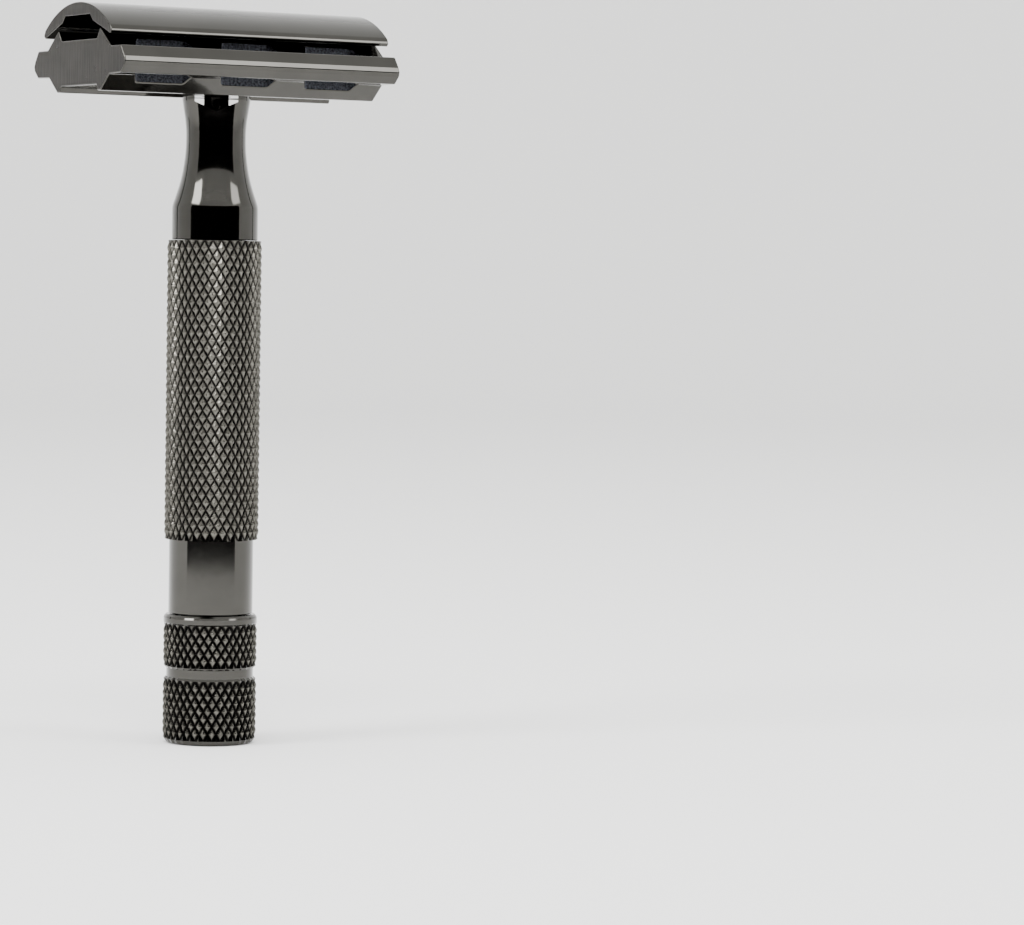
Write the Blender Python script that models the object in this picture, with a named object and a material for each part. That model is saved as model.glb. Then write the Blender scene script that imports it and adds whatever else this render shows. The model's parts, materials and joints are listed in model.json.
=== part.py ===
"""Two-piece double-edge safety razor with a twist knob.

The open-bar head is a base plate and a domed cap, both cut from drawn profiles. The cap hangs
on a threaded stud. A draw sleeve inside the neck takes that thread, and a rod joins the sleeve
to the knob at the foot of the handle, so turning the knob lowers or lifts the cap.

Frame: +Z runs up the handle, X along the head, and the origin is the middle of the knob's foot.
Sizes below are in millimetres, and each mesh is turned to metres when it is finished.
"""

import math

import bmesh
import bpy
from mathutils import Matrix, Vector

METRES = 0.001
ROUND = 48  # facets round a handle-sized part
SMALL_ROUND = 24  # facets round a pin or a hole
GAP = 0.3  # clearance between parts that rest on or in each other
RUNNING = 0.1  # radial clearance of the turning parts in their bushes

# Heights up the handle
KNOB_TOP = 17.9
STEM_TOP = 28.7
COLLAR_FOOT = 70.5
COLLAR_TOP = 75.0
CHANNEL_ROOF = 91.1
CROWN = 102.5

# Outer radii of the handle
KNOB_RADIUS = 6.6
STEM_RADIUS = 5.9
GRIP_RADIUS = 6.65
COLLAR_RADIUS = 6.0
WAIST_RADIUS = 4.17
NECK_TOP_RADIUS = 4.75

# Head
BASE_HALF_LENGTH = 21.35
CAP_HALF_LENGTH = 21.6
DOME_RADIUS = 16.0
CAP_HALF_WIDTH = 10.4
BAR_RADIUS = 1.85
BAR_CENTRE = (12.2, 94.3)
SLOT_PITCH = 13.1
SLOT_HALF_OUTER, SLOT_HALF_INNER = 4.6, 3.75
SLOT_INNER, SLOT_OUTER = 8.1, 9.9
PIN_OFFSET = 15.9
PIN_RADIUS = 1.0

# Lifting screw
STUD_RADIUS = 1.75
SLEEVE_RADIUS = 2.7
SLEEVE_TOP = 87.6
FLANGE_RADIUS = 3.5
CHAMBER_RADIUS = 3.8
CHAMBER_ROOF = 79.4
ROD_RADIUS = 1.5
CORE_RADIUS = 4.25
CORE_TOP = 74.3

# The fork in the neck faces this way round from straight across the head
FORK_ANGLE = math.radians(28)
FORK_HALF_WIDTH = 3.0

for old in list(bpy.data.objects):
    bpy.data.objects.remove(old, do_unlink=True)


def material(name, colour, roughness, metallic=1.0):
    made = bpy.data.materials.new(name)
    made.use_nodes = True
    shader = made.node_tree.nodes["Principled BSDF"]
    shader.inputs["Base Color"].default_value = (*colour, 1.0)
    shader.inputs["Roughness"].default_value = roughness
    shader.inputs["Metallic"].default_value = metallic
    return made


def empty(name, height):
    """The frame of one moving group, on the handle's axis."""
    made = bpy.data.objects.new(name, None)
    made.location = (0, 0, height * METRES)
    bpy.context.scene.collection.objects.link(made)
    return made


def arc(centre, radius, start, end, steps):
    """Points along an arc in a drawing plane, from one angle to another in degrees."""
    angles = [math.radians(start + (end - start) * i / steps) for i in range(steps + 1)]
    return [(centre[0] + radius * math.cos(a), centre[1] + radius * math.sin(a)) for a in angles]


def finish(name, shape, finish_material, group=None, at=(0, 0, 0)):
    """Turns a bmesh in millimetres into a named object on its group's frame."""
    bmesh.ops.remove_doubles(shape, verts=shape.verts, dist=1e-5)
    bmesh.ops.recalc_face_normals(shape, faces=shape.faces)
    offset = Vector(at) * METRES
    frame_height = group.location.z if group else 0.0
    shape.transform(Matrix.Translation((0, 0, -frame_height)) @ Matrix.Scale(METRES, 4))
    mesh = bpy.data.meshes.new(name)
    shape.to_mesh(mesh)
    shape.free()
    mesh.shade_smooth()
    mesh.set_sharp_from_angle(angle=math.radians(35))
    made = bpy.data.objects.new(name, mesh)
    made.location = offset
    bpy.context.scene.collection.objects.link(made)
    if finish_material:
        mesh.materials.append(finish_material)
    if group:
        made.parent = group
    return made


def turned_shape(outline, facets=ROUND):
    """A closed outline of (radius, height) points spun round the Z axis."""
    shape = bmesh.new()
    ring = [shape.verts.new((max(radius, 0.0), 0.0, height)) for radius, height in outline]
    pairs = zip(ring, ring[1:] + ring[:1])
    edges = [shape.edges.new(pair) for pair in pairs if pair[0].co.x + pair[1].co.x > 1e-9]
    bmesh.ops.spin(
        shape, geom=ring + edges, cent=(0, 0, 0), axis=(0, 0, 1),
        angle=2 * math.pi, steps=facets, use_merge=True, use_duplicate=False,
    )
    return shape


def turned(name, outline, finish_material, group=None, facets=ROUND):
    return finish(name, turned_shape(outline, facets), finish_material, group)


def ring_outline(inner, outer, low, high):
    return [(inner, low), (outer, low), (outer, high), (inner, high)]


def rod_outline(radius, low, high, chamfer=0.0):
    if not chamfer:
        return [(0, low), (radius, low), (radius, high), (0, high)]
    return [
        (0, low), (radius - chamfer, low), (radius, low + chamfer),
        (radius, high - chamfer), (radius - chamfer, high), (0, high),
    ]


def extruded_shape(outline, axis, low, high):
    """A flat outline pushed along X (outline in Y, Z) or along Z (outline in X, Y)."""
    shape = bmesh.new()
    if axis == "X":
        ring = [shape.verts.new((low, a, b)) for a, b in outline]
        push = (high - low, 0, 0)
    else:
        ring = [shape.verts.new((a, b, low)) for a, b in outline]
        push = (0, 0, high - low)
    face = shape.faces.new(ring)
    grown = bmesh.ops.extrude_face_region(shape, geom=[face], use_keep_orig=True)
    moved = [item for item in grown["geom"] if isinstance(item, bmesh.types.BMVert)]
    bmesh.ops.translate(shape, verts=moved, vec=push)
    return shape


def cut(target, name, shape, at=(0, 0, 0), turn=None):
    """Takes a shape away from a part with an exact Boolean, and hides the cutter."""
    if turn:
        shape.transform(turn)
    shape.transform(Matrix.Translation(at))
    cutter = finish(name, shape, None)
    cutter.hide_render = True
    cutter.display_type = "WIRE"
    if target.parent:
        cutter.parent = target.parent
        cutter.location.z = -target.parent.location.z
    made = target.modifiers.new(name, "BOOLEAN")
    made.operation = "DIFFERENCE"
    made.object = cutter
    made.solver = "EXACT"


def across_y(radius, length):
    """A plain cylinder that lies along Y."""
    shape = turned_shape(rod_outline(radius, -length / 2, length / 2), SMALL_ROUND)
    shape.transform(Matrix.Rotation(math.pi / 2, 4, "X"))
    return shape


plated = material("black_nickel_polished", (0.17, 0.165, 0.155), 0.12)
knurled = material("black_nickel_knurled", (0.13, 0.127, 0.12), 0.28)
steel = material("stainless_steel", (0.45, 0.45, 0.44), 0.25)
brass = material("brass", (0.62, 0.46, 0.2), 0.3)
bronze = material("sintered_bronze", (0.4, 0.25, 0.13), 0.5)
spring_steel = material("spring_steel", (0.3, 0.3, 0.31), 0.3)
acetal = material("acetal", (0.03, 0.03, 0.03), 0.45, 0.0)

knob_frame = empty("knob_frame", 0)
cap_frame = empty("cap_frame", CHANNEL_ROOF)

# ---------------------------------------------------------------- base plate
# Half of the profile, from the middle of the channel roof out and up to the blade channel.
FOOT = 90.3
HALF_BASE = [
    (5.5, CHANNEL_ROOF), (5.75, FOOT), (6.65, FOOT),  # channel side and foot
    (9.35, 92.45), (12.7, 92.5),  # slanted flank and bar underside
    *arc(BAR_CENTRE, BAR_RADIUS, -8, 76, 10),  # rounded nose of the bar
    (9.75, 96.15), (6.75, 98.6), (6.4, 98.75), (6.1, 98.55),  # shelf and ridge
    (5.75, 97.65), (5.4, 97.4),
]
base_profile = HALF_BASE + [(-y, z) for y, z in reversed(HALF_BASE)]
base_plate = finish(
    "base_plate", extruded_shape(base_profile, "X", -BASE_HALF_LENGTH, BASE_HALF_LENGTH), plated
)


def slot_outline(side):
    """One lather slot seen from above: longer at the bar than at the ridge."""
    points = [
        (-SLOT_HALF_OUTER, SLOT_OUTER), (SLOT_HALF_OUTER, SLOT_OUTER),
        (SLOT_HALF_INNER, SLOT_INNER), (-SLOT_HALF_INNER, SLOT_INNER),
    ]
    return [(x, side * y) for x, y in points]


for side, side_name in ((-1, "front"), (1, "rear")):
    for place in (-1, 0, 1):
        slot = extruded_shape(slot_outline(side), "Z", 89.0, 99.5)
        cut(base_plate, f"cut_slot_{side_name}_{place + 2}", slot, (place * SLOT_PITCH, 0, 0))
SPIGOT_RADIUS = 3.2
SPIGOT_TOP = 94.6
spigot_seat = turned_shape(rod_outline(SPIGOT_RADIUS + GAP, 90.0, SPIGOT_TOP + GAP))
cut(base_plate, "cut_spigot", spigot_seat)
cut(base_plate, "cut_stud_hole", turned_shape(rod_outline(STUD_RADIUS + GAP, 94.0, 98.5), SMALL_ROUND))
for place in (-1, 1):
    hole = turned_shape(rod_outline(PIN_RADIUS + GAP, 90.0, 98.5), SMALL_ROUND)
    cut(base_plate, f"cut_pin_hole_{place + 2}", hole, (place * PIN_OFFSET, 0, 0))

# ---------------------------------------------------------------- neck
# A smooth waist between the collar and the head, from a few radii read up the neck.
WAIST = [
    (5.85, 75.6), (5.31, 77.15), (4.9, 78.55), (4.58, 80.0), (4.37, 81.4), (4.22, 82.8),
    (WAIST_RADIUS, 84.4), (4.19, 85.6), (4.31, 87.0), (4.52, 88.4), (4.7, 89.5),
]
FLANGE_FOOT = 90.35
neck_outline = [
    (CORE_RADIUS + GAP, COLLAR_FOOT + GAP / 2), (COLLAR_RADIUS - 0.15, COLLAR_FOOT + GAP / 2),
    (COLLAR_RADIUS, COLLAR_FOOT + GAP), (COLLAR_RADIUS, COLLAR_TOP - 0.2), *WAIST,
    (NECK_TOP_RADIUS, 90.0), (NECK_TOP_RADIUS, CHANNEL_ROOF - GAP),
    (SPIGOT_RADIUS, CHANNEL_ROOF - GAP), (SPIGOT_RADIUS, SPIGOT_TOP),
    (STUD_RADIUS + GAP, SPIGOT_TOP), (STUD_RADIUS + GAP, FLANGE_FOOT),
    (FORK_HALF_WIDTH, FLANGE_FOOT), (FORK_HALF_WIDTH, CHAMBER_ROOF),
    (CHAMBER_RADIUS, CHAMBER_ROOF), (CHAMBER_RADIUS, CORE_TOP + GAP),
    (CORE_RADIUS + GAP, CORE_TOP + GAP),
]
neck = turned("neck", neck_outline, plated)
FORK_SHOULDER, FORK_FOOT = 89.55, 88.2
fork_outline = [
    (0, FORK_FOOT), (FORK_HALF_WIDTH, FORK_SHOULDER), (FORK_HALF_WIDTH, FLANGE_FOOT),
    (-FORK_HALF_WIDTH, FLANGE_FOOT), (-FORK_HALF_WIDTH, FORK_SHOULDER),
]
fork = extruded_shape(fork_outline, "X", -8, 8)
cut(neck, "cut_fork", fork, turn=Matrix.Rotation(math.pi / 2 - FORK_ANGLE, 4, "Z"))

# ---------------------------------------------------------------- handle
BUSH_SEAT_UPPER, BUSH_SEAT_LOWER = 70.3, 22.8
turned("core_tube", [
    (3.7, KNOB_TOP + GAP), (STEM_RADIUS - 0.2, KNOB_TOP + GAP), (STEM_RADIUS, KNOB_TOP + GAP + 0.2),
    (STEM_RADIUS, STEM_TOP - GAP / 2), (CORE_RADIUS, STEM_TOP - GAP / 2), (CORE_RADIUS, CORE_TOP),
    (3.3, CORE_TOP), (3.3, BUSH_SEAT_UPPER), (2.4, BUSH_SEAT_UPPER), (2.4, BUSH_SEAT_LOWER),
    (3.7, BUSH_SEAT_LOWER),
], plated)
CHAMFER = 0.35
grip_foot, grip_top = STEM_TOP + GAP / 2, COLLAR_FOOT - GAP / 2
turned("grip_sleeve", [
    (CORE_RADIUS + GAP, grip_foot), (GRIP_RADIUS - CHAMFER, grip_foot),
    (GRIP_RADIUS, grip_foot + CHAMFER), (GRIP_RADIUS, grip_top - CHAMFER),
    (GRIP_RADIUS - CHAMFER, grip_top), (CORE_RADIUS + GAP, grip_top),
], knurled)
bush_bore = ROD_RADIUS + RUNNING
turned("lower_bush", ring_outline(bush_bore, 3.4, 18.5, BUSH_SEAT_LOWER - GAP), bronze)
turned("upper_bush", ring_outline(bush_bore, 3.0, BUSH_SEAT_UPPER + GAP, 74.0), bronze)
turned("spring_seat", ring_outline(SLEEVE_RADIUS + 0.2, 3.5, 74.6, 74.9), steel)
turned("thrust_washer", ring_outline(SLEEVE_RADIUS + 0.2, 3.5, 78.8, 79.1), bronze)

# The light spring that holds the sleeve's flange up against its washer.
SPRING_RADIUS, WIRE_RADIUS, SPRING_TURNS = 3.25, 0.22, 2.0
SPRING_FOOT, SPRING_HEAD = 75.45, 76.85
STEPS_PER_TURN = 20
spring = bmesh.new()
step_count = int(SPRING_TURNS * STEPS_PER_TURN)
sections = []
for step in range(step_count + 1):
    turn = 2 * math.pi * step / STEPS_PER_TURN
    height = SPRING_FOOT + (SPRING_HEAD - SPRING_FOOT) * step / step_count
    section = []
    for out, up in arc((SPRING_RADIUS, height), WIRE_RADIUS, 0, 315, 7):
        section.append(spring.verts.new((out * math.cos(turn), out * math.sin(turn), up)))
    sections.append(section)
for lower, upper in zip(sections, sections[1:]):
    for i in range(len(lower)):
        j = (i + 1) % len(lower)
        spring.faces.new((lower[i], lower[j], upper[j], upper[i]))
spring.faces.new(sections[0])
spring.faces.new(list(reversed(sections[-1])))
finish("lift_spring", spring, spring_steel)

# ---------------------------------------------------------------- knob and draw rod
SLEEVE_FOOT, ROD_TOP, ROD_FOOT = 74.65, 78.9, 3.2
draw_sleeve = turned("draw_sleeve", [
    (ROD_RADIUS + GAP, SLEEVE_FOOT), (SLEEVE_RADIUS, SLEEVE_FOOT), (SLEEVE_RADIUS, 77.4),
    (FLANGE_RADIUS, 77.4), (FLANGE_RADIUS, 78.5), (SLEEVE_RADIUS, 78.5),
    (SLEEVE_RADIUS, SLEEVE_TOP - 0.3), (SLEEVE_RADIUS - 0.3, SLEEVE_TOP),
    (STUD_RADIUS + 0.2, SLEEVE_TOP), (STUD_RADIUS + 0.2, 79.6), (ROD_RADIUS + GAP, 79.4),
], brass, knob_frame)
SCREW_HOLE_TOP = 9.5
draw_rod = turned("draw_rod", [
    (1.2, ROD_FOOT), (ROD_RADIUS, ROD_FOOT), (ROD_RADIUS, ROD_TOP), (0, ROD_TOP),
    (0, SCREW_HOLE_TOP), (1.2, SCREW_HOLE_TOP),
], steel, knob_frame, SMALL_ROUND)
CROSS_PIN_HEIGHT, CROSS_PIN_RADIUS = 76.2, 0.45
for target in (draw_sleeve, draw_rod):
    hole = across_y(CROSS_PIN_RADIUS + 0.2, 8)
    cut(target, f"cut_pin_in_{target.name}", hole, (0, 0, CROSS_PIN_HEIGHT))
cross_pin = across_y(CROSS_PIN_RADIUS, 5.0)
cross_pin.transform(Matrix.Translation((0, 0, CROSS_PIN_HEIGHT)))
finish("cross_pin", cross_pin, steel, knob_frame)

GROOVE_LOW, GROOVE_HIGH, GROOVE_DEPTH = 9.0, 10.9, 0.5
KNOB_CHAMFER = 0.9
POCKET_RADIUS, POCKET_ROOF = 4.2, 2.6
turned("knob", [
    (POCKET_RADIUS, 0), (KNOB_RADIUS - KNOB_CHAMFER, 0), (KNOB_RADIUS, KNOB_CHAMFER),
    (KNOB_RADIUS, GROOVE_LOW), (KNOB_RADIUS - GROOVE_DEPTH, GROOVE_LOW + 0.35),
    (KNOB_RADIUS - GROOVE_DEPTH, GROOVE_HIGH - 0.35), (KNOB_RADIUS, GROOVE_HIGH),
    (KNOB_RADIUS, KNOB_TOP - 0.4), (KNOB_RADIUS - 0.4, KNOB_TOP), (5.0, KNOB_TOP),
    (5.0, 16.8), (ROD_RADIUS + GAP, 16.8), (ROD_RADIUS + GAP, POCKET_ROOF),
    (POCKET_RADIUS, POCKET_ROOF),
], knurled, knob_frame)
turned("wear_washer", ring_outline(ROD_RADIUS + GAP, 4.7, 17.1, KNOB_TOP), acetal, knob_frame)
turned("knob_screw", [
    (0, 1.2), (2.4, 1.2), (2.4, 2.3), (0.9, 2.3), (0.9, 8.6), (0, 8.6),
], steel, knob_frame, SMALL_ROUND)
turned("end_disc", rod_outline(3.9, 0, 0.9), plated, knob_frame)

# ---------------------------------------------------------------- cap
# The dome is one arc, so the profile runs round it from rim to rim and back along the underside.
RIM_TOP = CROWN - DOME_RADIUS + math.sqrt(DOME_RADIUS**2 - (CAP_HALF_WIDTH - 0.25) ** 2)
RIM_FOOT, TIP = 98.2, (10.05, 97.85)
dome_angle = math.degrees(math.asin((CAP_HALF_WIDTH - 0.25) / DOME_RADIUS))
UNDERSIDE = [TIP, (4.65, 99.8), (3.85, 100.7)]
cap_profile = arc((0, CROWN - DOME_RADIUS), DOME_RADIUS, 90 - dome_angle, 90 + dome_angle, 24)
cap_profile += [(-CAP_HALF_WIDTH, RIM_TOP - 0.3), (-CAP_HALF_WIDTH, RIM_FOOT)]
cap_profile += [(-y, z) for y, z in UNDERSIDE] + list(reversed(UNDERSIDE))
cap_profile += [(CAP_HALF_WIDTH, RIM_FOOT), (CAP_HALF_WIDTH, RIM_TOP - 0.3)]
cap = finish(
    "cap", extruded_shape(cap_profile, "X", -CAP_HALF_LENGTH, CAP_HALF_LENGTH), plated, cap_frame
)
BOSS_RADIUS, BOSS_FOOT, STUD_TOP, STUD_FOOT = 3.2, 97.8, 101.1, 80.2
boss = finish("boss_shape", turned_shape(rod_outline(BOSS_RADIUS, BOSS_FOOT, 101.5)), None)
boss.hide_render = True
boss.display_type = "WIRE"
boss.parent = cap_frame
boss.location.z = -cap_frame.location.z
joined = cap.modifiers.new("boss", "BOOLEAN")
joined.operation = "UNION"
joined.object = boss
joined.solver = "EXACT"
stud_pocket = turned_shape(rod_outline(STUD_RADIUS + GAP, 97.0, STUD_TOP + GAP), SMALL_ROUND)
cut(cap, "cut_stud_pocket", stud_pocket)
turned("cap_stud", rod_outline(STUD_RADIUS, STUD_FOOT, STUD_TOP, 0.3), steel, cap_frame, SMALL_ROUND)
PIN_FOOT, PIN_TOP = 91.6, 101.2
for place, pin_name in ((-1, "locating_pin_left"), (1, "locating_pin_right")):
    hole = turned_shape(rod_outline(PIN_RADIUS + GAP, 97.0, PIN_TOP + GAP), SMALL_ROUND)
    cut(cap, f"cut_{pin_name}", hole, (place * PIN_OFFSET, 0, 0))
    pin = turned_shape(rod_outline(PIN_RADIUS, PIN_FOOT, PIN_TOP, 0.25), SMALL_ROUND)
    pin.transform(Matrix.Translation((place * PIN_OFFSET, 0, 0)))
    finish(pin_name, pin, steel, cap_frame)
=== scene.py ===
"""The looks of a two-piece safety razor with a twist knob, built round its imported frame."""

import json
import math

import bmesh
import bpy
from mathutils import Matrix, Vector

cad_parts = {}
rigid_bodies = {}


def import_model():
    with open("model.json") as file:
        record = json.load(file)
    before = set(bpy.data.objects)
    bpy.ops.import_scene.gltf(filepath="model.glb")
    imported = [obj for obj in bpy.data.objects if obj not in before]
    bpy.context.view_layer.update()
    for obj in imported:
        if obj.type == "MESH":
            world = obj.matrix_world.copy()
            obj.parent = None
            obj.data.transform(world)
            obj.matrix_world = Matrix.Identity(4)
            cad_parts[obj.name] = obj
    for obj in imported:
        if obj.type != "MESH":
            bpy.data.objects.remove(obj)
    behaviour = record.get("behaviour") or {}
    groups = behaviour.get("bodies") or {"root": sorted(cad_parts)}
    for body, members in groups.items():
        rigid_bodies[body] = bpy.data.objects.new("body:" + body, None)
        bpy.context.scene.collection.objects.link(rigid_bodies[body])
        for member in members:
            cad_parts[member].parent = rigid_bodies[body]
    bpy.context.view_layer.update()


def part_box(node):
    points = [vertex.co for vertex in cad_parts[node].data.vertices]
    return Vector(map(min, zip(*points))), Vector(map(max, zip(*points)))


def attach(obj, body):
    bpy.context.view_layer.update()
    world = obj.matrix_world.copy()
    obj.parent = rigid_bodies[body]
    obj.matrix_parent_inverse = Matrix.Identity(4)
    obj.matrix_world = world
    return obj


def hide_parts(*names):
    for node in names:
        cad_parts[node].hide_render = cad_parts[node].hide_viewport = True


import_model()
MM = 0.001


# ------------------------------------------------------------------ camera
# A long lens a little over half a metre away, near the height of the grip's top,
# looking at the front of the head and at its left end.
CAMERA_AT = Vector((-264.2, -496.9, 66.7)) * MM
HEADING, PITCH, ROLL = math.radians(-32.28), math.radians(-2.73), math.radians(0.89)
camera_data = bpy.data.cameras.new("camera")
camera_data.lens = 141.0
camera_data.sensor_width = 36.0
camera_data.clip_start = 0.01
camera = bpy.data.objects.new("camera", camera_data)
camera.matrix_world = (
    Matrix.Translation(CAMERA_AT)
    @ Matrix.Rotation(HEADING, 4, "Z")
    @ Matrix.Rotation(math.pi / 2 + PITCH, 4, "X")
    @ Matrix.Rotation(ROLL, 4, "Z")
)
bpy.context.scene.collection.objects.link(camera)
bpy.context.scene.camera = camera


# ------------------------------------------------------------------ floor
# A sheet of white paper that sweeps up into a wall all round, like the cove of
# a product studio, so no edge of it shows from any side.
def linear(hex_colour):
    """An sRGB hex colour as linear red, green, blue and alpha."""
    parts = [int(hex_colour[i : i + 2], 16) / 255 for i in (1, 3, 5)]
    return (*(c / 12.92 if c <= 0.04045 else ((c + 0.055) / 1.055) ** 2.4 for c in parts), 1.0)


def new_material(name):
    """An empty Principled material, with its tree and shader."""
    made = bpy.data.materials.new(name)
    made.use_nodes = True
    return made, made.node_tree, made.node_tree.nodes["Principled BSDF"]


def matt(name, colour, roughness, shine):
    """A plain material with one colour."""
    made, _, shader = new_material(name)
    shader.inputs["Base Color"].default_value = linear(colour)
    shader.inputs["Roughness"].default_value = roughness
    shader.inputs["Specular IOR Level"].default_value = shine
    return made


# Sizes of the cove in metres.
FLOOR_RADIUS, COVE_RADIUS, WALL_TOP = 1.3, 0.5, 1.4
COVE_STEPS, COVE_SIDES = 12, 96
outline = [Vector((0, 0, 0)), Vector((FLOOR_RADIUS, 0, 0))]
for step in range(1, COVE_STEPS + 1):
    angle = math.pi / 2 * step / COVE_STEPS
    outline.append(
        Vector((FLOOR_RADIUS + COVE_RADIUS * math.sin(angle), 0, COVE_RADIUS * (1 - math.cos(angle))))
    )
outline.append(Vector((FLOOR_RADIUS + COVE_RADIUS, 0, WALL_TOP)))
cove = bmesh.new()
points = [cove.verts.new(point) for point in outline]
edges = [cove.edges.new(pair) for pair in zip(points, points[1:])]
bmesh.ops.spin(cove, geom=points + edges, cent=(0, 0, 0), axis=(0, 0, 1),
               angle=2 * math.pi, steps=COVE_SIDES, use_merge=True)
bmesh.ops.remove_doubles(cove, verts=cove.verts, dist=1e-6)
cove_mesh = bpy.data.meshes.new("floor")
cove.to_mesh(cove_mesh)
cove.free()
cove_mesh.shade_smooth()
cove_mesh.materials.append(matt("studio_paper", "#f4f4f4", 0.9, 0.1))
floor = bpy.data.objects.new("floor", cove_mesh)
bpy.context.scene.collection.objects.link(floor)


# ------------------------------------------------------------------ lights
# Three small soft boxes high up at the front and the sides, a large one overhead,
# and a white room. Black cards stand in front, at the right and behind at the
# left. Only reflections see them, as the dark stripes in the polished metal.
HEAD = Vector((0, 0, 0.08))
BOX_DISTANCE = 0.9


def around(azimuth, elevation, distance):
    """A place round the head. Azimuth turns from the front, -Y, towards +X, in degrees."""
    turn, rise = math.radians(azimuth), math.radians(elevation)
    flat = distance * math.cos(rise)
    return HEAD + Vector((flat * math.sin(turn), -flat * math.cos(turn), distance * math.sin(rise)))


def soft_box(name, azimuth, elevation, width, height, power):
    """An area light that faces the head. Sizes are in metres and power is in watts."""
    light = bpy.data.lights.new(name, "AREA")
    light.shape = "RECTANGLE"
    light.size, light.size_y = width, height
    light.energy = power
    made = bpy.data.objects.new(name, light)
    made.location = around(azimuth, elevation, BOX_DISTANCE)
    made.rotation_euler = (HEAD - made.location).to_track_quat("-Z", "Y").to_euler()
    made.visible_camera = False
    bpy.context.scene.collection.objects.link(made)
    return made


soft_box("front_box", -28, 56, 0.35, 0.25, 4.0)
soft_box("left_box", -88, 36, 0.35, 0.3, 7.0)
soft_box("right_box", 38, 37, 0.35, 0.3, 2.8)
soft_box("top_box", 0, 88, 0.9, 0.7, 4.0).visible_glossy = False

room = bpy.data.worlds.new("white_room")
room.use_nodes = True
room.node_tree.nodes["Background"].inputs["Color"].default_value = linear("#f6f6f4")
room.node_tree.nodes["Background"].inputs["Strength"].default_value = 1.9
bpy.context.scene.world = room

black_cloth = matt("black_cloth", "#0a0a0a", 1.0, 0.0)
CARD_STEPS = 24


def black_card(name, first, last, start, end):
    """The line between two (radius, height) points in metres, swept from azimuth to azimuth."""
    shape = bmesh.new()
    ends = [shape.verts.new((0, -radius, height)) for radius, height in (first, last)]
    shape.transform(Matrix.Rotation(math.radians(start), 4, "Z"))
    bmesh.ops.spin(shape, geom=[*ends, shape.edges.new(ends)], cent=(0, 0, 0), axis=(0, 0, 1),
                   angle=math.radians(end - start), steps=CARD_STEPS)
    mesh = bpy.data.meshes.new(name)
    shape.to_mesh(mesh)
    shape.free()
    mesh.materials.append(black_cloth)
    made = bpy.data.objects.new(name, mesh)
    made.visible_camera = False
    made.visible_diffuse = False
    made.visible_shadow = False
    bpy.context.scene.collection.objects.link(made)


CARD, FRAME, NEAR_FLOOR = 0.7, 0.9, 0.004
black_card("front_card", (CARD, NEAR_FLOOR), (CARD, 0.34), -96, 40)
black_card("table_card", (0.27, NEAR_FLOOR), (CARD, NEAR_FLOOR), -96, 40)
black_card("left_frame", (FRAME, 0.0), (FRAME, 0.9), -152, -148)
black_card("right_frame", (FRAME, 0.0), (FRAME, 0.9), 92, 95)


# ------------------------------------------------------------------ base plate
# The lower half of the head: one drawn bar of brass, sawn to length, polished
# and plated with black nickel. Its sawn ends are satin, and six lather slots
# are milled through it.
def add(tree, kind, links=None, **settings):
    """Adds a node. Settings name its own options or, by socket name, its inputs."""
    node = tree.nodes.new(kind)
    for key, value in settings.items():
        if hasattr(node, key):
            setattr(node, key, value)
        else:
            node.inputs[key].default_value = value
    for socket, source in (links or {}).items():
        tree.links.new(source, node.inputs[socket])
    return node


def own_space(tree):
    """The object's own coordinates, in metres."""
    return add(tree, "ShaderNodeTexCoord").outputs["Object"]


def noise(tree, vector, size_mm, detail, **more):
    """Random noise, with grains of about this size."""
    made = add(tree, "ShaderNodeTexNoise", {"Vector": vector},
               Scale=1 / (size_mm * MM), Detail=detail, **more)
    return made.outputs["Fac"]


def ranged(tree, value, source=(0.0, 1.0), to=(0.0, 1.0)):
    """A value mapped from one range to another."""
    made = add(tree, "ShaderNodeMapRange", {"Value": value})
    made.inputs["From Min"].default_value, made.inputs["From Max"].default_value = source
    made.inputs["To Min"].default_value, made.inputs["To Max"].default_value = to
    return made.outputs["Result"]


def tint(tree, shader, share, first, second):
    """Colours the shader between two colours, by a share from 0 to 1."""
    made = add(tree, "ShaderNodeMix", {"Factor": share}, data_type="RGBA")
    made.inputs["A"].default_value = first
    made.inputs["B"].default_value = second
    tree.links.new(made.outputs["Result"], shader.inputs["Base Color"])


def shade(tree, shader, share):
    """Multiplies the shader's colour by a share."""
    colour = shader.inputs["Base Color"].links[0].from_socket
    made = add(tree, "ShaderNodeVectorMath", {"Vector": colour, "Scale": share}, operation="SCALE")
    tree.links.new(made.outputs["Vector"], shader.inputs["Base Color"])


def emboss(tree, shader, height, strength, depth_mm):
    """Tilts the shader's surface by a height."""
    made = add(tree, "ShaderNodeBump", {"Height": height}, Strength=strength, Distance=depth_mm * MM)
    tree.links.new(made.outputs["Normal"], shader.inputs["Normal"])


def black_nickel(name, colour, roughness, grain_mm, cloud_mm, mottle):
    """Black nickel over polished brass: a dark warm mirror, unevenly deep in clouds."""
    made, tree, shader = new_material(name)
    space = own_space(tree)
    depth = ranged(tree, noise(tree, space, cloud_mm, 3.0), source=(0.35, 0.65))
    dark = tuple(c * (1 - mottle) for c in linear(colour)[:3]) + (1.0,)
    tint(tree, shader, depth, dark, linear(colour))
    haze = ranged(tree, noise(tree, space, grain_mm, 5.0), to=(roughness * 0.75, roughness * 1.3))
    tree.links.new(haze, shader.inputs["Roughness"])
    shader.inputs["Metallic"].default_value = 1.0
    return made, tree, shader


# Buffed plate keeps a very shallow waviness about 2 mm across, which bends
# straight reflections a little.
mirror_plate, tree, shader = black_nickel("black_nickel_buffed", "#464542", 0.08, 0.8, 6.0, 0.1)
emboss(tree, shader, noise(tree, own_space(tree), 2.2, 1.0), 0.05, 0.02)

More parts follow.
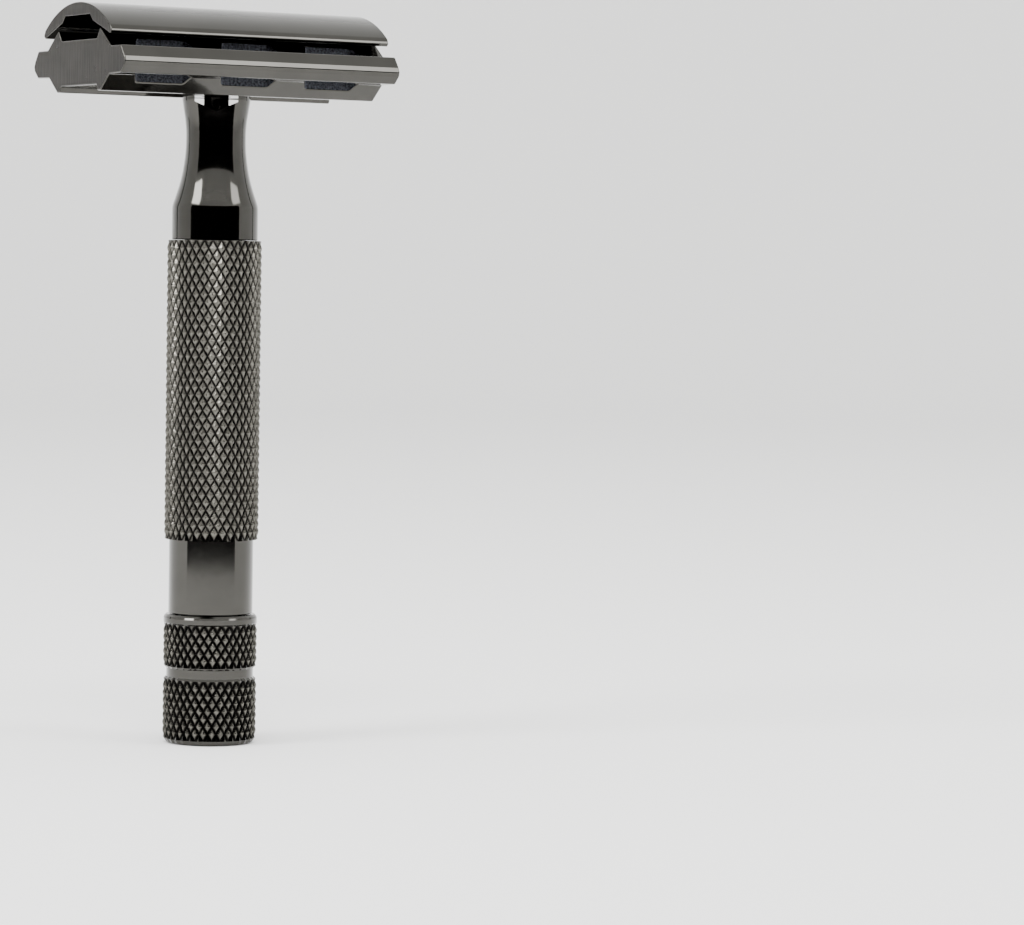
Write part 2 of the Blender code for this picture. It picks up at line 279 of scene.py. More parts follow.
# Sawn and lightly linished ends: fine upright brush marks, each about 0.12 mm
# wide and several millimetres long.
brushed_plate, tree, shader = black_nickel("black_nickel_brushed_ends", "#383532", 0.3, 1.5, 5.0, 0.25)
strokes = add(tree, "ShaderNodeMapping", {"Vector": own_space(tree)}, Scale=(1.0, 1.0, 0.04))
brush = noise(tree, strokes.outputs["Vector"], 0.24, 4.0)
emboss(tree, shader, brush, 0.6, 0.03)
shade(tree, shader, ranged(tree, brush, source=(0.3, 0.7), to=(0.72, 1.2)))

# Milled slot walls that the buffing wheel can't reach: dark navy, pitted by
# the plating bath in specks of about 0.25 mm.
slot_plate, tree, shader = black_nickel("black_nickel_unbuffed", "#6a6d76", 0.34, 0.25, 0.3, 0.75)
emboss(tree, shader, noise(tree, own_space(tree), 0.25, 6.0, Roughness=0.7), 0.6, 0.05)

MIRROR, BRUSHED, UNBUFFED = 0, 1, 2
HEAD_FINISHES = (mirror_plate, brushed_plate, slot_plate)


def filleted(corners, steps=5):
    """A closed outline from (y, z, fillet radius) corners, with each corner made an arc."""
    points = []
    for before, corner, after in zip(corners[-1:] + corners[:-1], corners, corners[1:] + corners[:1]):
        here = Vector(corner[:2])
        if not corner[2]:
            points.append(tuple(here))
            continue
        back = (Vector(before[:2]) - here).normalized()
        ahead = (Vector(after[:2]) - here).normalized()
        half = math.acos(max(-1.0, min(1.0, back.dot(ahead)))) / 2
        reach = corner[2] / math.tan(half)
        centre = here + (back + ahead).normalized() * corner[2] / math.sin(half)
        first, last = here + back * reach - centre, here + ahead * reach - centre
        for step in range(steps + 1):
            spoke = first.lerp(last, step / steps).normalized() * corner[2]
            points.append(tuple(centre + spoke))
    return points


def prism(outline, push):
    """A flat closed outline of (x, y, z) points, pushed along a vector into a solid."""
    shape = bmesh.new()
    face = shape.faces.new([shape.verts.new(point) for point in outline])
    grown = bmesh.ops.extrude_face_region(shape, geom=[face], use_keep_orig=True)
    moved = [item for item in grown["geom"] if isinstance(item, bmesh.types.BMVert)]
    bmesh.ops.translate(shape, verts=moved, vec=push)
    bmesh.ops.recalc_face_normals(shape, faces=shape.faces)
    return shape


def at_end(face):
    """True on the sawn end of a bar along X."""
    return abs(face.normal.x) > 0.99


def drawn_bar(outline, half_length, end_round):
    """A closed outline of (y, z) points in millimetres, drawn out along X, with rounded ends."""
    shape = prism([(-half_length, y, z) for y, z in outline], (2 * half_length, 0, 0))
    rims = [edge for edge in shape.edges if any(at_end(face) for face in edge.link_faces)]
    bmesh.ops.bevel(shape, geom=rims, offset=end_round, segments=3, profile=0.5,
                    affect="EDGES", material=-1, clamp_overlap=False)
    for face in shape.faces:
        face.material_index = BRUSHED if at_end(face) else MIRROR
    return shape


def turned(outline, facets):
    """A closed outline of (radius, height) points in millimetres, spun round Z."""
    shape = bmesh.new()
    ring = [shape.verts.new((radius, 0, height)) for radius, height in outline]
    pairs = zip(ring, ring[1:] + ring[:1])
    edges = [shape.edges.new(pair) for pair in pairs if pair[0].co.x + pair[1].co.x > 1e-6]
    bmesh.ops.spin(shape, geom=ring + edges, cent=(0, 0, 0), axis=(0, 0, 1),
                   angle=2 * math.pi, steps=facets, use_merge=True)
    bmesh.ops.remove_doubles(shape, verts=shape.verts, dist=1e-5)
    bmesh.ops.recalc_face_normals(shape, faces=shape.faces)
    return shape


def post(radius, low, high, facets, along=0.0):
    """A plain upright cylinder, moved along X."""
    shape = turned([(0, low), (radius, low), (radius, high), (0, high)], facets)
    shape.transform(Matrix.Translation((along, 0, 0)))
    return shape


def to_mesh(name, shape, finishes):
    """The shape as a mesh in metres, with its materials."""
    shape.transform(Matrix.Scale(MM, 4))
    mesh = bpy.data.meshes.new(name)
    shape.to_mesh(mesh)
    shape.free()
    for finish in finishes:
        mesh.materials.append(finish)
    return mesh


def combined(shape, cuts, joins=()):
    """The shape with the joins added and the cuts taken away, by exact Booleans in turn."""
    scene = bpy.context.scene.collection.objects
    body = bpy.data.objects.new("work", to_mesh("work", shape, HEAD_FINISHES))
    scene.link(body)
    others = []
    steps = [("UNION", tool) for tool in joins] + [("DIFFERENCE", tool) for tool in cuts]
    for operation, tool in steps:
        bmesh.ops.recalc_face_normals(tool, faces=tool.faces)
        other = bpy.data.objects.new("tool", to_mesh("tool", tool, HEAD_FINISHES))
        scene.link(other)
        others.append(other)
        step = body.modifiers.new("step", "BOOLEAN")
        step.operation, step.solver, step.object = operation, "EXACT", other
    bpy.context.view_layer.update()
    result = bmesh.new()
    graph = bpy.context.evaluated_depsgraph_get()
    result.from_mesh(body.evaluated_get(graph).to_mesh())
    result.transform(Matrix.Scale(1 / MM, 4))
    for used in [body, *others]:
        bpy.data.objects.remove(used)
    bmesh.ops.remove_doubles(result, verts=result.verts, dist=1e-4)
    bmesh.ops.dissolve_degenerate(result, edges=result.edges, dist=1e-4)
    return result


def piece(name, shape, finishes, body, replaced, sharp=32):
    """A finished piece, in metres in its mesh, riding on its body in place of a node."""
    mesh = to_mesh(name, shape, finishes)
    mesh.shade_smooth()
    mesh.set_sharp_from_angle(angle=math.radians(sharp))
    made = bpy.data.objects.new(name, mesh)
    bpy.context.scene.collection.objects.link(made)
    even = made.modifiers.new("even_shading", "WEIGHTED_NORMAL")
    even.keep_sharp = True
    even.weight = 100
    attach(made, body)
    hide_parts(*replaced)
    return made


def corners_of(node):
    """The low and the high corner of a node's box, in millimetres."""
    low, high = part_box(node)
    return low / MM, high / MM


BASE_HALF, BASE_END_ROUND = corners_of("base_plate")[1].x, 0.18
HALF_BASE = [
    (5.5, 91.1, 0.25), (5.72, 90.3, 0.2), (6.68, 90.3, 0.3),  # channel side and foot
    (9.3, 92.42, 0.4), (12.85, 92.5, 0.35),  # slanted flank and bar underside
    (13.93, 93.5, 0.4), (14.1, 94.1, 0.25), (13.82, 94.75, 0.4), (12.75, 96.25, 0.35),  # bar
    (9.75, 96.25, 0.5), (6.42, 98.85, 0.2), (5.4, 97.4, 0.3),  # shelf and ridge
]
base_outline = filleted(HALF_BASE + [(-y, z, r) for y, z, r in reversed(HALF_BASE)])
base = drawn_bar(base_outline, BASE_HALF, BASE_END_ROUND)

# Each lather slot is a trapezoid in plan, wider towards the edge of the head.
SLOT_PITCH, SLOT_NEAR, SLOT_FAR, SLOT_FOOT, SLOT_HEAD = 13.1, 8.1, 9.9, 89.0, 99.5
SLOT_HALF_NEAR, SLOT_HALF_FAR, SLOT_CORNER = 3.6, 4.6, 0.25
SLOT_PLACES = (-SLOT_PITCH, 0.0, SLOT_PITCH)
SLOT_PLAN = [(-SLOT_HALF_NEAR, SLOT_NEAR), (SLOT_HALF_NEAR, SLOT_NEAR),
             (SLOT_HALF_FAR, SLOT_FAR), (-SLOT_HALF_FAR, SLOT_FAR)]
cutters = []
for side in (-1, 1):
    for place in SLOT_PLACES:
        plan = [(x + place, side * y, SLOT_FOOT) for x, y in SLOT_PLAN]
        cutter = prism(plan, (0, 0, SLOT_HEAD - SLOT_FOOT))
        upright = [edge for edge in cutter.edges if edge.verts[0].co.xy == edge.verts[1].co.xy]
        bmesh.ops.bevel(cutter, geom=upright, offset=SLOT_CORNER, segments=3, profile=0.5,
                        affect="EDGES", material=-1)
        for face in cutter.faces:
            face.material_index = UNBUFFED
        cutters.append(cutter)

# Holes for the neck's spigot, the stud and the cap's two pins.
PIN_OFFSET, PIN_HOLE, STUD_HOLE, SPIGOT_HOLE = 15.9, 1.3, 2.05, 3.5
BELOW_BASE, SPIGOT_TOP, INSIDE_SPIGOT, ABOVE_BASE = 89.0, 94.9, 94.0, 98.5
cutters.append(post(SPIGOT_HOLE, BELOW_BASE, SPIGOT_TOP, 96))
cutters.append(post(STUD_HOLE, INSIDE_SPIGOT, ABOVE_BASE, 64))
for along in (-PIN_OFFSET, PIN_OFFSET):
    cutters.append(post(PIN_HOLE, BELOW_BASE, ABOVE_BASE, 48, along))
base = combined(base, cutters)

# The edges round the slots' mouths are broken and buffed with the outside.
MOUTH_BREAK, MOUTH_ANGLE, NEAR = 0.17, math.radians(30), 0.01


def at_mouth(edge):
    """True on the sharp edges round a lather slot's mouths."""
    middle = (edge.verts[0].co + edge.verts[1].co) / 2
    across = min(abs(middle.x - place) for place in SLOT_PLACES)
    inside = across < SLOT_HALF_FAR + NEAR and SLOT_NEAR - NEAR < abs(middle.y) < SLOT_FAR + NEAR
    upright = abs(edge.verts[0].co.z - edge.verts[1].co.z) > 1.0
    return inside and not upright and edge.calc_face_angle(0) > MOUTH_ANGLE


mouths = [edge for edge in base.edges if at_mouth(edge)]
rounded = bmesh.ops.bevel(base, geom=mouths, offset=MOUTH_BREAK, segments=2, profile=0.5,
                          affect="EDGES", material=-1, clamp_overlap=False)
for face in rounded["faces"]:
    face.material_index = MIRROR
piece("base_plate_drawn", base, HEAD_FINISHES, "handle", ["base_plate"])


# ------------------------------------------------------------------ cap
# The upper half of the head: a second drawn bar with a domed back, buffed to a
# mirror. A boss under its middle takes the stud, and two pins sit beside it.
CAP_HALF, RIM, CROWN = corners_of("cap")[1]
DOME_RADIUS, DOME_STEPS, RIM_LAND, CAP_END_ROUND = 16.0, 60, 0.32, 0.09
dome_end = math.asin((RIM - RIM_LAND) / DOME_RADIUS)
dome = []
for step in range(DOME_STEPS + 1):
    angle = dome_end * (1 - 2 * step / DOME_STEPS)
    dome.append((DOME_RADIUS * math.sin(angle), CROWN - DOME_RADIUS * (1 - math.cos(angle)), 0.0))
HALF_UNDERSIDE = [
    (3.85, 100.7, 0.4), (4.65, 99.8, 0.3),  # channel roof and its side
    (10.0, 97.85, 0.12), (RIM, 98.2, 0.12), (RIM - 0.08, 98.45, 0.0),  # blade edge and rim
]
cap_corners = dome + [(-y, z, r) for y, z, r in reversed(HALF_UNDERSIDE)] + HALF_UNDERSIDE
cap = drawn_bar(filleted(cap_corners), CAP_HALF, CAP_END_ROUND)
BOSS, BOSS_CHAMFER, BOSS_FOOT, BOSS_TOP = 3.2, 0.2, 97.8, 101.5
boss = turned([
    (0, BOSS_FOOT), (BOSS - BOSS_CHAMFER, BOSS_FOOT), (BOSS, BOSS_FOOT + BOSS_CHAMFER),
    (BOSS, BOSS_TOP), (0, BOSS_TOP),
], 96)
BELOW_CAP, STUD_POCKET, PIN_POCKET = 97.0, 101.4, 101.5
pockets = [post(STUD_HOLE, BELOW_CAP, STUD_POCKET, 64)]
for along in (-PIN_OFFSET, PIN_OFFSET):
    pockets.append(post(PIN_HOLE, BELOW_CAP, PIN_POCKET, 48, along))
cap = combined(cap, pockets, [boss])
piece("cap_drawn", cap, HEAD_FINISHES, "cap", ["cap"])


# ------------------------------------------------------------------ neck
# Turned and buffed like the head: a waist that flares into a plain collar, and
# a fork cut through its top where the head's stud shows.
def through(points, steps):
    """A smooth curve through (radius, height) points, by Catmull-Rom spans."""
    padded = [points[0], *points, points[-1]]
    curve = []
    for a, b, c, d in zip(padded, padded[1:], padded[2:], padded[3:]):
        for step in range(steps):
            t = step / steps
            curve.append(tuple(
                0.5 * (2 * q + (r - p) * t + (2 * p - 5 * q + 4 * r - s) * t * t
                       + (3 * q - p - 3 * r + s) * t**3)
                for p, q, r, s in zip(a, b, c, d)
            ))
    return [*curve, points[-1]]


COLLAR = corners_of("neck")[1].x
COLLAR_FOOT, COLLAR_TOP, COLLAR_BREAK = 70.4, 75.0, 0.12
WAIST = [
    (COLLAR, COLLAR_TOP - 0.35), (5.9, 75.35), (5.31, 77.15), (4.9, 78.55), (4.58, 80.0),
    (4.37, 81.4), (4.22, 82.8), (4.17, 84.4), (4.19, 85.6), (4.31, 87.0), (4.52, 88.4), (4.75, 89.9),
]
SHOULDER, SPIGOT, SPIGOT_END, SPIGOT_BREAK = 90.8, 3.2, 94.6, 0.1
BORE, BORE_TOP, FLANGE_ROOM, FLANGE_ROOF = 3.0, 90.35, 3.8, 79.4
CORE_SEAT, CORE_TOP = 4.55, 74.6
neck = turned([
    # the outside, from the collar's foot up to the shoulder under the head
    (CORE_SEAT, COLLAR_FOOT), (COLLAR - COLLAR_BREAK, COLLAR_FOOT), (COLLAR, COLLAR_FOOT + COLLAR_BREAK),
    *through(WAIST, 5), (4.75, SHOULDER - 0.1), (4.65, SHOULDER),
    # the spigot in the base plate, and the stepped bore back down to the core's seat
    (SPIGOT, SHOULDER), (SPIGOT, SPIGOT_END - SPIGOT_BREAK), (SPIGOT - SPIGOT_BREAK, SPIGOT_END),
    (STUD_HOLE, SPIGOT_END), (STUD_HOLE, BORE_TOP), (BORE, BORE_TOP), (BORE, FLANGE_ROOF),
    (FLANGE_ROOM, FLANGE_ROOF), (FLANGE_ROOM, CORE_TOP), (CORE_SEAT, CORE_TOP),
], 160)
FORK_ANGLE, FORK_SHOULDER, FORK_FOOT, FORK_REACH = math.radians(28), 89.55, 88.2, 8.0
FORK_SECTION = [(0, FORK_FOOT), (BORE, FORK_SHOULDER), (BORE, BORE_TOP), (-BORE, BORE_TOP),
                (-BORE, FORK_SHOULDER)]
fork = prism([(-FORK_REACH, y, z) for y, z in FORK_SECTION], (2 * FORK_REACH, 0, 0))
fork.transform(Matrix.Rotation(math.pi / 2 - FORK_ANGLE, 4, "Z"))
neck = combined(neck, [fork])
piece("neck_turned", neck, HEAD_FINISHES, "handle", ["neck"])


# ------------------------------------------------------------------ grip
# A brass sleeve with a diamond knurl rolled into it before plating: two sets
# of 33 grooves that cross at 61 degrees and leave small blunt pyramids.
KNURL_STARTS, KNURL_FACETS = 33, 66
KNURL_ROW, KNURL_DEPTH = 1.06, 0.36
# How much of each edge the blunting of a tip takes, in hundredths.
TIP_SHARE = 12.0
KNURLED = 1


def knurl_rows(low, high):
    """Heights of a band's rows of knurl points, half a diamond apart."""
    count = round((high - low) / KNURL_ROW)
    return [low + (high - low) * row / count for row in range(count + 1)]


def knurl(shape, radius, rows, chamfer):
    """Works a diamond knurl into one band of a turned shape of 66 facets.

    The band is a grid at half the knurl's pitch, whose points are tips and
    groove crossings by turns. Each cell is split along its groove, the
    crossings are pushed in, and the tips are cut blunt.
    """
    low, high = rows[0], rows[-1]
    crossing = {}
    for vert in shape.verts:
        if low - NEAR < vert.co.z < high + NEAR and vert.co.xy.length > radius - NEAR:
            row = round((vert.co.z - low) / (rows[1] - rows[0]))
            column = round(math.atan2(vert.co.y, vert.co.x) * KNURL_STARTS / math.pi)
            crossing[vert] = (row + column) % 2 == 1
    for face in [face for face in shape.faces if all(vert in crossing for vert in face.verts)]:
        bmesh.utils.face_split(face, *[vert for vert in face.verts if crossing[vert]])
    tips = []
    for vert, sunk in crossing.items():
        room = min(vert.co.z - low, high - vert.co.z)
        deep = max(chamfer - room, KNURL_DEPTH if sunk else 0.0)
        vert.co.xy *= 1 - deep / radius
        if not sunk and room > NEAR:
            tips.append(vert)
    bmesh.ops.bevel(shape, geom=tips, offset=TIP_SHARE, offset_type="PERCENT", segments=1,
                    profile=0.5, affect="VERTICES", material=-1)
    for face in shape.faces:
        middle = face.calc_center_median()
        if low < middle.z < high and middle.xy.length > radius - 2 * KNURL_DEPTH:
            face.material_index = KNURLED


# Painted shade in the knurl: its grooves are painted nearly black and its tips keep the
# plating's colour, as the colour falls away with the distance from the handle's axis.
GRIP = corners_of("grip_sleeve")[1].x
BLACK_BELOW, BRIGHT_ABOVE = GRIP - 0.95 * KNURL_DEPTH, GRIP - 0.55 * KNURL_DEPTH
knurl_plate, tree, shader = black_nickel("black_nickel_knurled", "#67655f", 0.16, 0.3, 0.5, 0.45)
space = own_space(tree)
flat = add(tree, "ShaderNodeVectorMath", {"Vector": space}, operation="MULTIPLY")
flat.inputs[1].default_value = (1.0, 1.0, 0.0)
out = add(tree, "ShaderNodeVectorMath", {"Vector": flat.outputs["Vector"]}, operation="LENGTH")
# Painted shade: the deeper a point lies in the knurl, the darker its colour.
groove_shade = ranged(tree, out.outputs["Value"], source=(BLACK_BELOW * MM, BRIGHT_ABOVE * MM), to=(0.03, 1.0))
shade(tree, shader, groove_shade)
emboss(tree, shader, noise(tree, space, 0.25, 3.0), 0.5, 0.05)
HANDLE_FINISHES = (mirror_plate, knurl_plate)

GRIP_FOOT, GRIP_TOP, END_BREAK, END_STEP = 28.6, 70.35, 0.15, 0.05
# Edges that turn more than 12 degrees are shaded sharp, so each facet is crisp.
KNURL_SHARP = 12
grip_rows = knurl_rows(GRIP_FOOT + END_STEP, GRIP_TOP - END_STEP)
grip = turned([
    (CORE_SEAT, GRIP_FOOT), (GRIP - END_BREAK - 0.1, GRIP_FOOT), *[(GRIP, z) for z in grip_rows],
    (GRIP - END_BREAK - 0.1, GRIP_TOP), (CORE_SEAT, GRIP_TOP),
], KNURL_FACETS)
knurl(grip, GRIP, grip_rows, END_BREAK)
piece("grip_knurled", grip, HANDLE_FINISHES, "handle", ["grip_sleeve"], KNURL_SHARP)


# ------------------------------------------------------------------ stem
# The core tube runs through the grip and shows below it as the smooth stem.
# It is turned and buffed, with a small rounded foot where the knob meets it.
core_low, core_high = corners_of("core_tube")
STEM, STEM_TOP, CORE = core_high.x, 28.58, 4.25
FOOT_SEAT, FOOT_SEAT_TOP, CORE_BORE, TOP_SEAT, TOP_SEAT_FOOT = 3.7, 22.8, 2.4, 3.3, 70.3
core = turned([
    (FOOT_SEAT, core_low.z), (STEM - 0.2, core_low.z), (STEM - 0.06, core_low.z + 0.06),
    (STEM, core_low.z + 0.2), (STEM, STEM_TOP), (CORE, STEM_TOP), (CORE, core_high.z),
    (TOP_SEAT, core_high.z), (TOP_SEAT, TOP_SEAT_FOOT), (CORE_BORE, TOP_SEAT_FOOT),
    (CORE_BORE, FOOT_SEAT_TOP), (FOOT_SEAT, FOOT_SEAT_TOP),
], 128)
piece("core_tube_turned", core, HANDLE_FINISHES, "handle", ["core_tube"])


# ------------------------------------------------------------------ knob
# Knurled in two bands with a turned groove between them, a plain rim at the
# top where it meets the stem, and a rounded foot closed by a plain disc.
KNOB, KNOB_TOP, GROOVE_DEPTH = corners_of("knob")[1].x, 18.1, 0.5
DISC_SEAT, DISC_SEAT_TOP, STEM_SEAT, STEM_SEAT_FOOT, ROD_HOLE = 4.2, 2.6, 5.0, 16.8, 1.8
lower_rows, upper_rows = knurl_rows(0.7, 9.05), knurl_rows(10.85, 16.75)
knob = turned([
    # the foot and the two bands, with the groove between them
    (DISC_SEAT, 0), (KNOB - 0.85, 0), (KNOB - 0.55, 0.15), *[(KNOB, z) for z in lower_rows],
    (KNOB - GROOVE_DEPTH, 9.35), (KNOB - GROOVE_DEPTH, 10.55), *[(KNOB, z) for z in upper_rows],
    # the plain rim
    (KNOB - 0.05, 16.95), (KNOB - 0.05, 17.6), (KNOB - 0.15, 17.85), (KNOB - 0.4, KNOB_TOP),
    # the seats of the stem and the disc, and the hole between them
    (STEM_SEAT, KNOB_TOP), (STEM_SEAT, STEM_SEAT_FOOT), (ROD_HOLE, STEM_SEAT_FOOT),
    (ROD_HOLE, DISC_SEAT_TOP), (DISC_SEAT, DISC_SEAT_TOP),
], KNURL_FACETS)
for rows in (lower_rows, upper_rows):
    knurl(knob, KNOB, rows, END_BREAK)
piece("knob_knurled", knob, HANDLE_FINISHES, "knob", ["knob"], KNURL_SHARP)

DISC, DISC_BREAK, DISC_TOP = corners_of("end_disc")[1].x, 0.1, 0.9
disc = turned([(0, 0), (DISC - DISC_BREAK, 0), (DISC, DISC_BREAK), (DISC, DISC_TOP), (0, DISC_TOP)], 96)
piece("end_disc_turned", disc, (mirror_plate,), "knob", ["end_disc"])


# ------------------------------------------------------------------ stud
# Stainless M3.5 stud with a 0.6 mm thread, screwed and soldered into the cap.
# It draws the cap down, and shows in the fork of the neck.
steel, tree, shader = new_material("stainless_turned")
lathe = add(tree, "ShaderNodeMapping", {"Vector": own_space(tree)}, Scale=(0.05, 0.05, 1.0))
rings = noise(tree, lathe.outputs["Vector"], 0.08, 3.0)
tree.links.new(ranged(tree, rings, to=(0.2, 0.36)), shader.inputs["Roughness"])
tint(tree, shader, rings, linear("#8f8f8d"), linear("#b5b5b2"))
emboss(tree, shader, rings, 0.08, 0.01)
shader.inputs["Metallic"].default_value = 1.0

stud_low, stud_high = corners_of("cap_stud")
STUD, THREAD_TOP, THREAD_PITCH, THREAD_DEPTH, ROWS_PER_PITCH = stud_high.x, 87.4, 0.6, 0.3, 8
THREAD_LEAD, THREAD_RUN_OUT, STUD_CHAMFER, FOOT_TAPER, FOOT_RISE, SKIN = 0.4, 0.3, 0.2, 0.35, 0.15, 0.05
PLATED_ABOVE = THREAD_TOP - 0.5
THREADED, SHANK = 0, 1
# The thread's crests and roots turn more than 50 degrees, so they are shaded sharp.
THREAD_SHARP = 50
row = THREAD_PITCH / ROWS_PER_PITCH
row_count = int((THREAD_TOP - stud_low.z - 0.2) / row)
stud = turned(
    [(0, stud_low.z), (STUD - FOOT_TAPER, stud_low.z)]
    + [(STUD, stud_low.z + FOOT_RISE + i * row) for i in range(row_count)]
    + [(STUD, stud_high.z - STUD_CHAMFER), (STUD - STUD_CHAMFER, stud_high.z), (0, stud_high.z)],
    48,
)
for vert in stud.verts:
    if vert.co.xy.length > STUD - SKIN and vert.co.z < THREAD_TOP:
        turn = math.atan2(vert.co.y, vert.co.x) / (2 * math.pi)
        phase = ((vert.co.z - stud_low.z) / THREAD_PITCH - turn) % 1.0
        depth = THREAD_DEPTH * (1 - abs(2 * phase - 1))
        to_end = vert.co.z - stud_low.z
        to_shank = max(0.0, THREAD_TOP - THREAD_RUN_OUT - vert.co.z)
        depth = min(max(depth, THREAD_LEAD - to_end), to_shank, THREAD_DEPTH)
        vert.co.xy *= 1 - depth / STUD
for face in stud.faces:
    face.material_index = SHANK if face.calc_center_median().z > PLATED_ABOVE else THREADED
piece("cap_stud_threaded", stud, (steel, mirror_plate), "cap", ["cap_stud"], THREAD_SHARP)


# ------------------------------------------------------------------ inner parts
# The mechanism inside the handle, in brass, bronze, steel and black acetal,
# turned from bar, with every sharp edge broken. All of it but the pins under
# the cap shows only when the handle is taken apart.
def turned_metal(name, low_colour, high_colour, roughness, grain_mm, metal=1.0):
    """A machined material with a fine random grain in its colour and polish."""
    made, tree, shader = new_material(name)
    grain = noise(tree, own_space(tree), grain_mm, 4.0)
    tint(tree, shader, grain, linear(low_colour), linear(high_colour))
    haze = ranged(tree, grain, to=(roughness * 0.8, roughness * 1.25))
    tree.links.new(haze, shader.inputs["Roughness"])
    emboss(tree, shader, grain, 0.2, 0.01)
    shader.inputs["Metallic"].default_value = metal
    return made


brass = turned_metal("brass_turned", "#b08d4f", "#c9a866", 0.26, 0.3)
bronze = turned_metal("bronze_sintered", "#7a5a3c", "#94704c", 0.48, 0.15)
wire = turned_metal("spring_wire_drawn", "#6e6e72", "#8c8c90", 0.3, 0.2)
acetal = turned_metal("acetal_moulded", "#141414", "#1c1c1c", 0.42, 0.4, metal=0.0)
EDGE_BREAK = 0.08


def broken(corners):
    """An outline of (radius, height) corners, with each one off the axis broken round."""
    return filleted([(radius, z, EDGE_BREAK if radius else 0.0) for radius, z in corners], 2)


def lying(radius, half_length, height):
    """A round bar along Y, through the axis at a height, with broken ends."""
    ends = [(0, -half_length), (radius, -half_length), (radius, half_length), (0, half_length)]
    bar = turned(broken(ends), 32)
    bar.transform(Matrix.Rotation(math.pi / 2, 4, "X"))
    bar.transform(Matrix.Translation((0, 0, height)))
    return bar


# Plain rings: the bushes that guide the rod, and the washers that take the rubbing.
ROD, ROD_PLAY, LOOSE_PLAY = 1.5, 0.1, 0.3
RINGS = {
    "lower_bush": (ROD + ROD_PLAY, 3.4, bronze, "handle", "bronze"),
    "upper_bush": (ROD + ROD_PLAY, 3.0, bronze, "handle", "bronze"),
    "thrust_washer": (2.9, 3.5, bronze, "handle", "bronze"),
    "spring_seat": (2.9, 3.5, steel, "handle", "steel"),
    "wear_washer": (ROD + LOOSE_PLAY, 4.7, acetal, "knob", "acetal"),
}
for node, (inner, outer, finish, body, slot_name) in RINGS.items():
    low, high = corners_of(node)
    shape = turned(broken([(inner, low.z), (outer, low.z), (outer, high.z), (inner, high.z)]), 96)
    piece(f"{node}_turned", shape, (finish,), body, [node])

# The sleeve is the nut of the lifting screw. A cross pin fixes it to the rod,
# and the knob's screw goes into the rod's other end.
CROSS_PIN, CROSS_PIN_HEIGHT, PIN_PLAY, BORE_REACH = 0.45, 76.2, 0.2, 5.0
SLEEVE, SLEEVE_FLANGE, SLEEVE_BORE, SLEEVE_CHAMFER = 2.7, 3.5, 1.95, 0.3
FLANGE_FOOT, FLANGE_TOP, SLEEVE_BORE_FOOT, ROD_SEAT_TOP = 77.4, 78.5, 79.6, 79.4
sleeve_low, sleeve_high = corners_of("draw_sleeve")
sleeve = turned(broken([
    (ROD + LOOSE_PLAY, sleeve_low.z), (SLEEVE, sleeve_low.z), (SLEEVE, FLANGE_FOOT),
    (SLEEVE_FLANGE, FLANGE_FOOT), (SLEEVE_FLANGE, FLANGE_TOP), (SLEEVE, FLANGE_TOP),
    (SLEEVE, sleeve_high.z - SLEEVE_CHAMFER), (SLEEVE - SLEEVE_CHAMFER, sleeve_high.z),
    (SLEEVE_BORE, sleeve_high.z), (SLEEVE_BORE, SLEEVE_BORE_FOOT), (ROD + LOOSE_PLAY, ROD_SEAT_TOP),
]), 96)
SCREW_HOLE, SCREW_HOLE_TOP = 1.2, 9.5
rod_low, rod_high = corners_of("draw_rod")
rod = turned(broken([
    (SCREW_HOLE, rod_low.z), (ROD, rod_low.z), (ROD, rod_high.z), (0, rod_high.z),
    (0, SCREW_HOLE_TOP), (SCREW_HOLE, SCREW_HOLE_TOP),
]), 64)
for node, shape, finish, slot_name in (
    ("draw_sleeve", sleeve, brass, "brass"), ("draw_rod", rod, steel, "steel"),
):
    bore = lying(CROSS_PIN + PIN_PLAY, BORE_REACH, CROSS_PIN_HEIGHT)
    drilled = combined(shape, [bore])
    piece(f"{node}_turned", drilled, (finish,), "knob", [node])
pin = lying(CROSS_PIN, corners_of("cross_pin")[1].y, CROSS_PIN_HEIGHT)
piece("cross_pin_turned", pin, (steel,), "knob", ["cross_pin"])

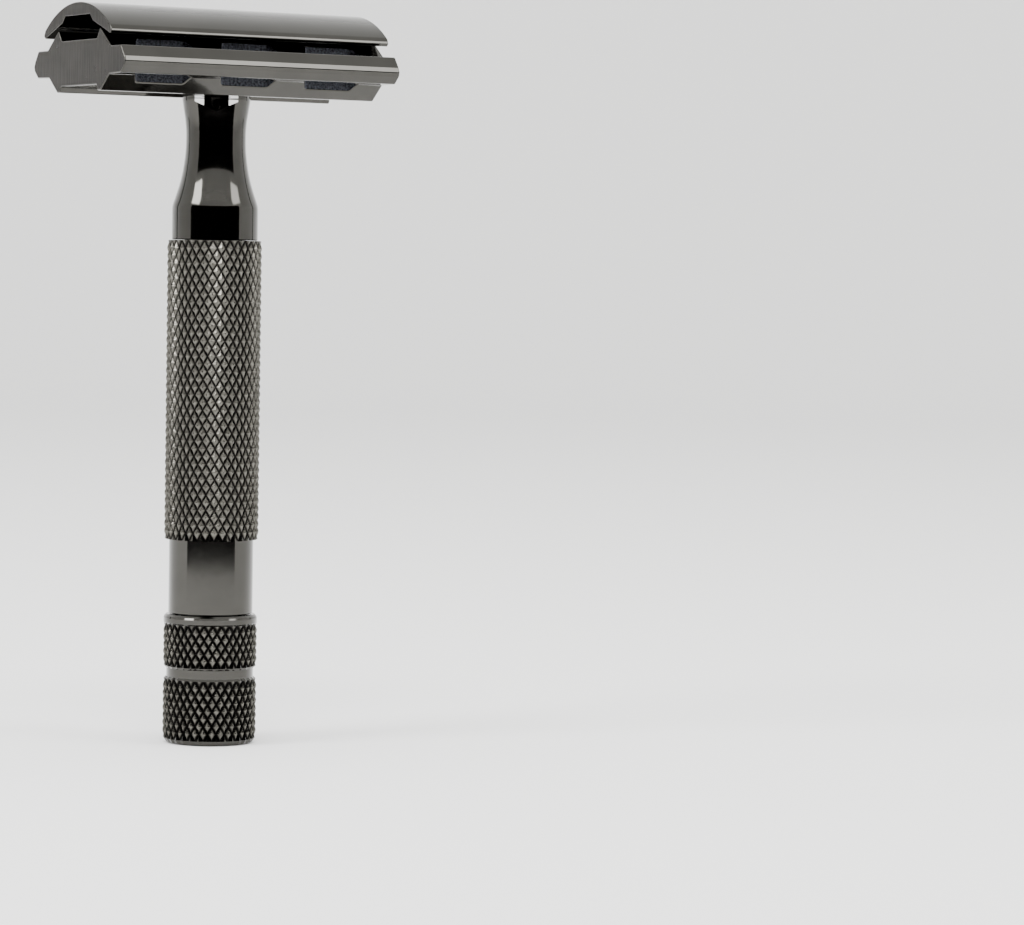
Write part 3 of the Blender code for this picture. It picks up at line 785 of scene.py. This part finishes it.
# A cheese-head screw with a sawn slot holds the knob on the rod.
SCREW_HEAD_FOOT, SCREW_HEAD_TOP, SCREW_SHANK, SAW_WIDTH, SAW_HEIGHT = 1.2, 2.3, 0.9, 0.6, 1.2
_, screw_high = corners_of("knob_screw")
screw = turned(broken([
    (0, SCREW_HEAD_FOOT), (screw_high.x, SCREW_HEAD_FOOT), (screw_high.x, SCREW_HEAD_TOP),
    (SCREW_SHANK, SCREW_HEAD_TOP), (SCREW_SHANK, screw_high.z), (0, screw_high.z),
]), 64)
saw_cut = bmesh.new()
bmesh.ops.create_cube(saw_cut, size=1.0)
saw_cut.transform(Matrix.Diagonal((3 * screw_high.x, SAW_WIDTH, SAW_HEIGHT, 1)))
saw_cut.transform(Matrix.Translation((0, 0, SCREW_HEAD_FOOT)))
screw = combined(screw, [saw_cut])
piece("knob_screw_slotted", screw, (steel,), "knob", ["knob_screw"])

# Two turns of round wire, wound open, push the sleeve's flange up.
COIL, WIRE, COIL_TURNS, STEPS_PER_TURN = 3.25, 0.22, 2, 64
spring_low, spring_high = corners_of("lift_spring")
rise = spring_high.z - spring_low.z - 2 * WIRE
coil_steps = COIL_TURNS * STEPS_PER_TURN
coil = bmesh.new()
bmesh.ops.create_circle(coil, segments=16, radius=WIRE, cap_ends=True)
coil.transform(Matrix.Rotation(math.pi / 2, 4, "X"))
coil.transform(Matrix.Translation((COIL, 0, spring_low.z + WIRE)))
bmesh.ops.spin(coil, geom=coil.faces[:], cent=(0, 0, 0), axis=(0, 0, 1),
               dvec=(0, 0, rise / coil_steps), angle=2 * math.pi * COIL_TURNS, steps=coil_steps)
bmesh.ops.recalc_face_normals(coil, faces=coil.faces)
piece("lift_spring_wound", coil, (wire,), "handle", ["lift_spring"])

# Ground pins with rounded feet, pressed into the cap, line the blade up.
PIN, PIN_FOOT_ROUND, PIN_TOP_BREAK = 1.0, 0.5, 0.1
for along, node in ((-PIN_OFFSET, "locating_pin_left"), (PIN_OFFSET, "locating_pin_right")):
    low, high = corners_of(node)
    side = [(0, low.z, 0), (PIN, low.z, PIN_FOOT_ROUND), (PIN, high.z, PIN_TOP_BREAK), (0, high.z, 0)]
    pin = turned(filleted(side), 48)
    pin.transform(Matrix.Translation((along, 0, 0)))
    piece(f"{node}_ground", pin, (steel,), "cap", [node])
